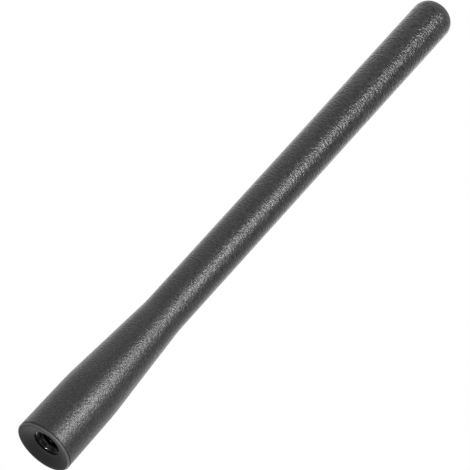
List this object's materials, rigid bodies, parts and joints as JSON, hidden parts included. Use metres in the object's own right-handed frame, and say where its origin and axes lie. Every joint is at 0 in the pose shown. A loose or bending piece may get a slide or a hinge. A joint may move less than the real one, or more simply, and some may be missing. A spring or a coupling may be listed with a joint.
{
  "type": "antenna mast",
  "caption": "Short black rubber antenna mast for a truck, with a flared foot, a long taper, a rounded tip and a threaded metal ferrule in its dished underside.",
  "frame": {"origin": "centre of the seat ring that the foot stands on", "axes": "+Z along the mast's axis from the foot to the tip; the mast is round, so X and Y are any two directions across it"},
  "size_m": [0.0164, 0.0164, 0.178],
  "materials": {
    "grained_rubber": "matt with a fine moulded grain",
    "blackened_steel": "turned and black oxide coated",
    "glass_fibre": "pultruded, satin",
    "copper_wire": "drawn bare copper",
    "shrink_film": "satin shrink tube",
    "solder": "bright soft solder"
  },
  "bodies": {
    "root": {"mast_sleeve": "grained_rubber", "threaded_ferrule": "blackened_steel", "core_rod": "glass_fibre", "radiator_coil": "copper_wire", "shrink_tube": "shrink_film", "solder_joint": "solder"}
  },
  "joints": []
}
